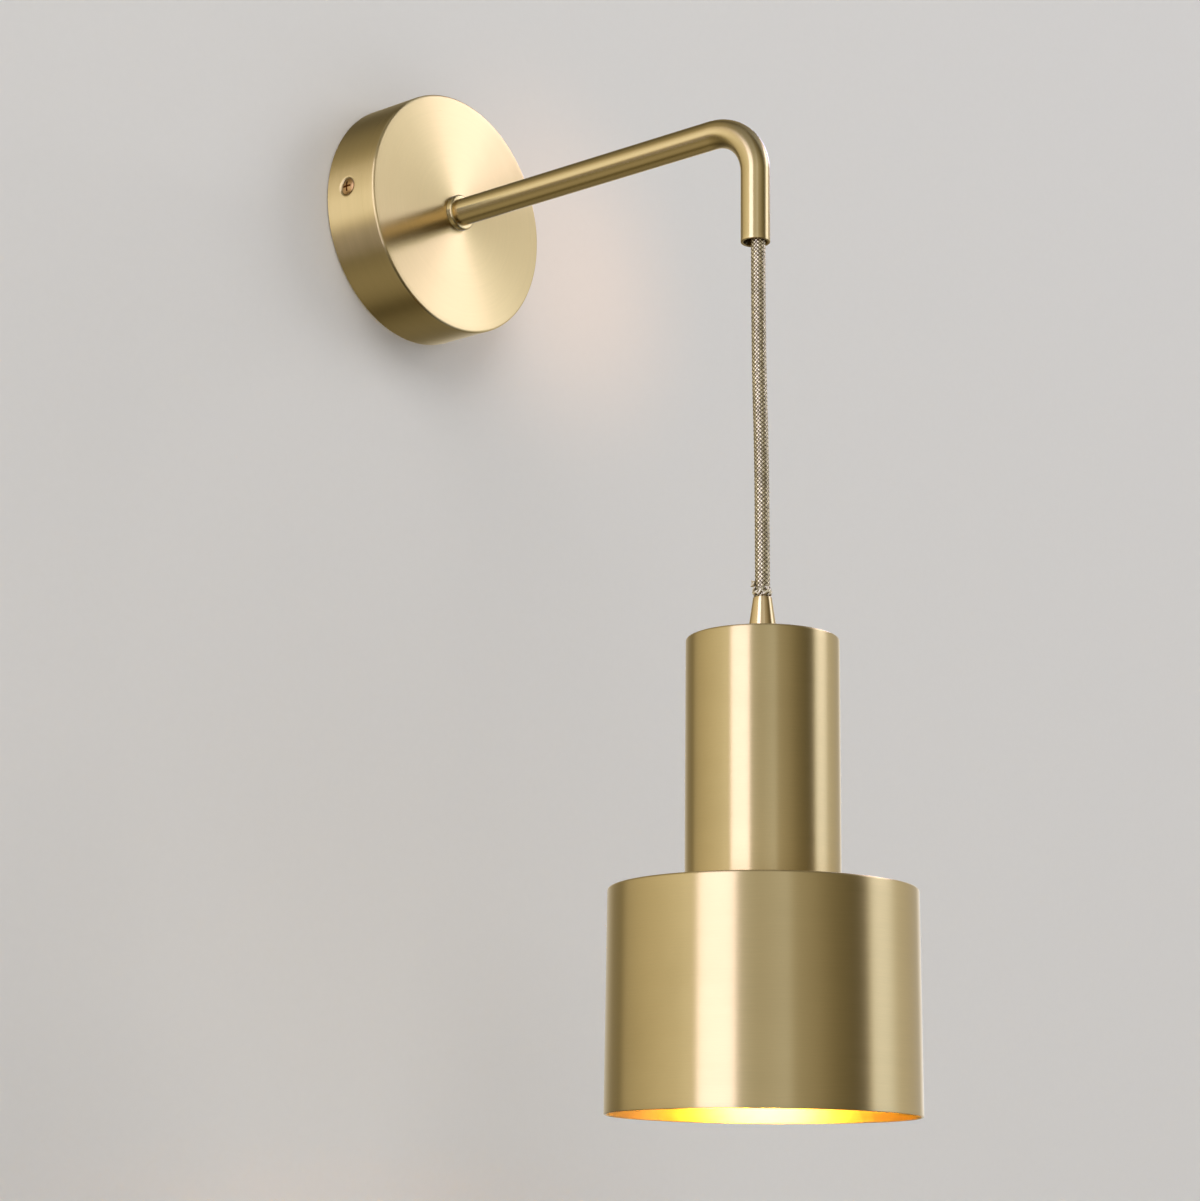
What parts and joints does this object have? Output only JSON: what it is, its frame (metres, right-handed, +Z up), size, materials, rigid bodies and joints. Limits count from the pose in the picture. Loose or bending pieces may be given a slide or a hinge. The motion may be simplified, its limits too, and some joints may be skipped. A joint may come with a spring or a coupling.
{
  "type": "hanging pendant wall sconce",
  "caption": "Wall sconce with a round dish, a bent tube arm and a braided cord that carries a stepped cylindrical metal shade, open below, over a small round bulb.",
  "frame": {"origin": "middle of the wall bracket's back, in the wall plane", "axes": "+Y into the wall, -Y out into the room, +Z up"},
  "size_m": [0.12, 0.2567, 0.454],
  "materials": {
    "brass_satin": "satin brushed brass, clear lacquered",
    "brass_polished": "polished brass",
    "brass_raw": "plain turned brass",
    "zinc_steel": "zinc-plated steel",
    "textile": "braided beige and gold-grey textile sleeve",
    "core_rubber": "cable core sheath",
    "nylon": "natural nylon",
    "phenolic": "black moulded lampholder plastic",
    "ceramic": "white glazed ceramic",
    "wire_brown": "brown wire sleeve",
    "wire_blue": "blue wire sleeve",
    "wire_green": "green and yellow wire sleeve",
    "aluminium": "plain aluminium",
    "bulb_plastic": "white bulb housing",
    "opal_glass": "opal white glass, warm light",
    "black_glass": "black glass insulator"
  },
  "bodies": {
    "wall_arm": {"wall_bracket": "zinc_steel", "canopy": "brass_satin", "canopy_screws": "brass_polished", "earth_tag": "brass_raw", "earth_washer": "zinc_steel", "earth_screw": "brass_raw", "terminal_block": "nylon", "terminal_clamps": "brass_raw", "terminal_screws": "zinc_steel", "block_screw": "zinc_steel", "arm_tube": "brass_satin", "arm_collar": "brass_satin", "arm_nipple": "zinc_steel", "arm_washer": "zinc_steel", "arm_nut": "zinc_steel", "cord_clamp": "nylon", "clamp_screw": "zinc_steel", "arm_cord": "textile", "wire_live": "wire_brown", "wire_neutral": "wire_blue", "wire_earth": "wire_green"},
    "cord_top": {"cord_upper": "textile"},
    "cord_bottom": {"cord_lower": "textile", "braid_cuff": "textile"},
    "pendant": {"cord_grip": "brass_polished", "cord_ferrule": "nylon", "cord_core": "core_rubber", "neck": "brass_satin", "neck_washer": "zinc_steel", "coupling_nut": "zinc_steel", "threaded_rod": "zinc_steel", "lock_nut": "zinc_steel", "lampholder_cap": "phenolic", "cap_screw": "zinc_steel", "lampholder_sleeve": "phenolic", "lampholder_core": "ceramic", "screw_shell": "brass_raw", "centre_contact": "brass_raw", "holder_terminals": "brass_raw", "holder_screws": "zinc_steel", "holder_wires": "wire_brown", "shade": "brass_satin", "ring_upper": "phenolic", "ring_lower": "phenolic"},
    "bulb": {"bulb_contact": "brass_raw", "bulb_insulator": "black_glass", "bulb_cap": "aluminium", "bulb_housing": "bulb_plastic", "led_board": "aluminium", "bulb_globe": "opal_glass"}
  },
  "joints": [
    {"name": "swing_sideways", "type": "hinge", "parent": "wall_arm", "child": "cord_top", "pos_m": [0, -0.1944, -0.052], "axis": [0, 1, 0], "range_deg": [-30, 30]},
    {"name": "swing_fore_aft", "type": "hinge", "parent": "cord_top", "child": "cord_bottom", "pos_m": [0, -0.1944, -0.077], "axis": [1, 0, 0], "range_deg": [-30, 25]},
    {"name": "pendant_twist", "type": "hinge", "parent": "cord_bottom", "child": "pendant", "pos_m": [0, -0.1962, -0.2], "axis": [0, 0, 1], "range_deg": [-90, 90]},
    {"name": "bulb_out", "type": "slide", "parent": "pendant", "child": "bulb", "axis": [0, 0, -1], "range_m": [0, 0.11]}
  ]
}
